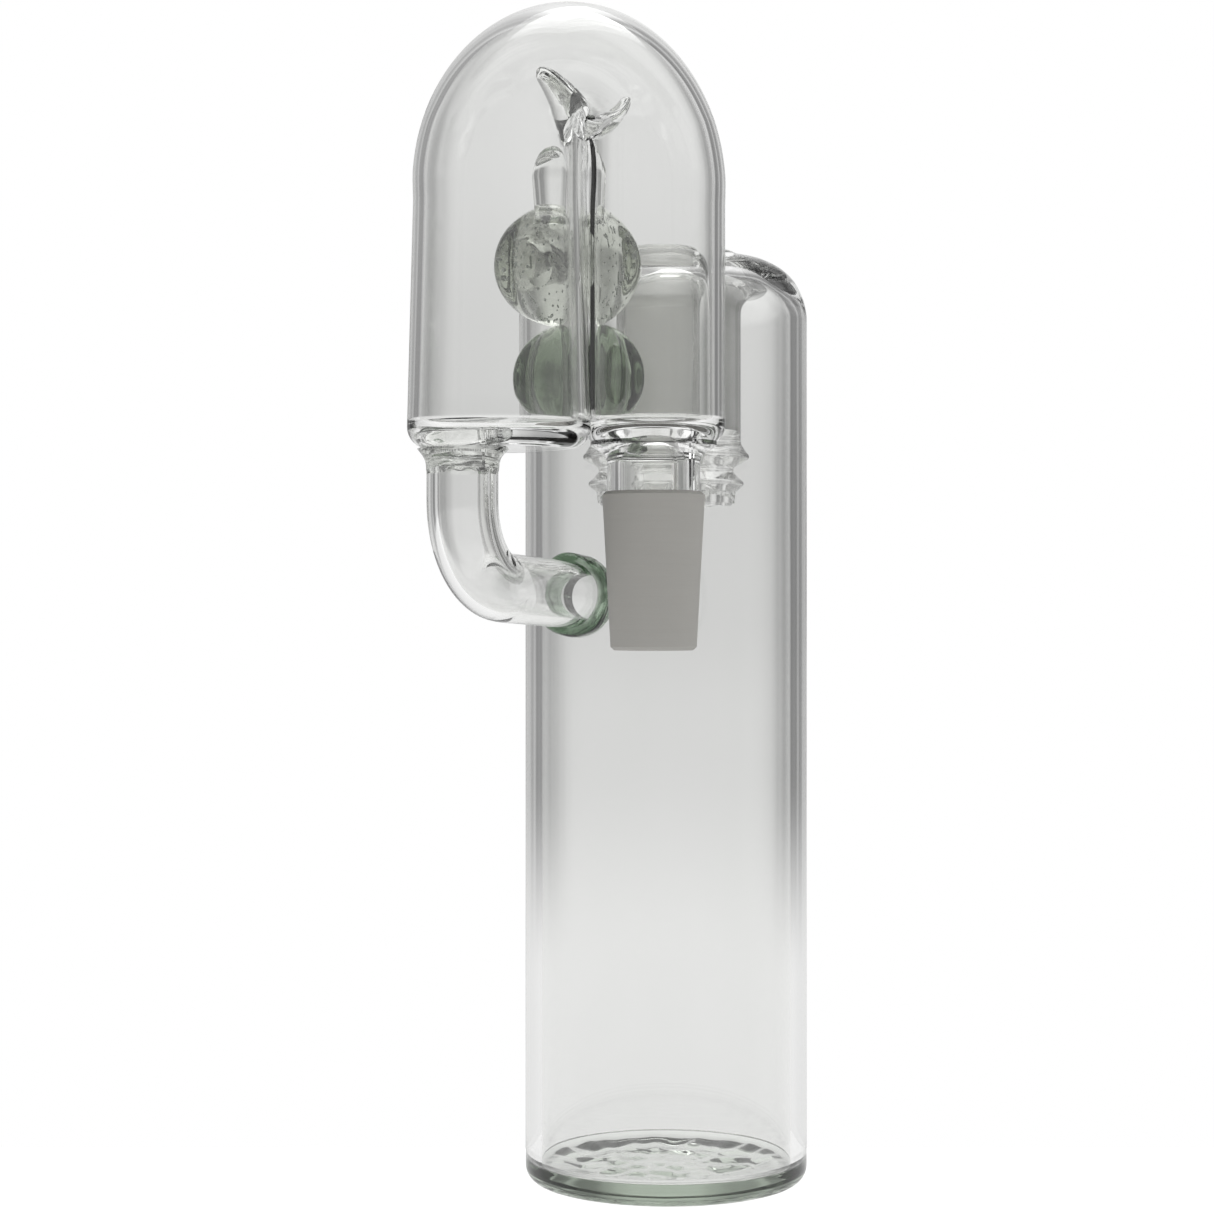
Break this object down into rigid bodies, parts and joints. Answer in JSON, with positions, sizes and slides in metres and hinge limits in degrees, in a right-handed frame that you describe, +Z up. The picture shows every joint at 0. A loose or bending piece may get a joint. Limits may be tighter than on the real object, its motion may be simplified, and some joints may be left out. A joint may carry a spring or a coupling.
{
  "type": "glass bubbler airlock attachment",
  "caption": "Clear glass bubbler: tall round chamber with a ground socket in its top, side elbow, inverted-U riser and a ground cone pointing down.",
  "frame": {"origin": "centre of the chamber's foot, on the surface that it stands on", "axes": "+Z up the chamber, -Y towards the riser's front, +X from the left leg towards the cone"},
  "size_m": [0.0591, 0.0813, 0.174],
  "materials": {
    "clear_glass": "clear, polished",
    "thick_glass": "clear, polished, faint green where it is thick",
    "marble_glass": "clear with fine seed bubbles, grey-green in depth",
    "frosted_glass": "ground, matte"
  },
  "bodies": {
    "root": {"foot_disc": "thick_glass", "chamber_tube": "clear_glass", "chamber_shoulder": "thick_glass", "ring_seal": "clear_glass", "socket_joint": "frosted_glass", "socket_tail": "clear_glass", "left_leg_floor": "clear_glass", "left_leg": "clear_glass", "crown_bend": "clear_glass", "right_leg": "clear_glass", "right_leg_floor": "clear_glass", "leg_seam": "thick_glass", "crotch_fold": "thick_glass", "elbow_tube": "clear_glass", "elbow_top_weld": "thick_glass", "outlet_weld_ring": "thick_glass", "cone_neck": "clear_glass", "cone_joint": "frosted_glass", "upper_marble": "marble_glass", "lower_marble": "marble_glass", "marble_tail": "clear_glass"}
  },
  "joints": []
}
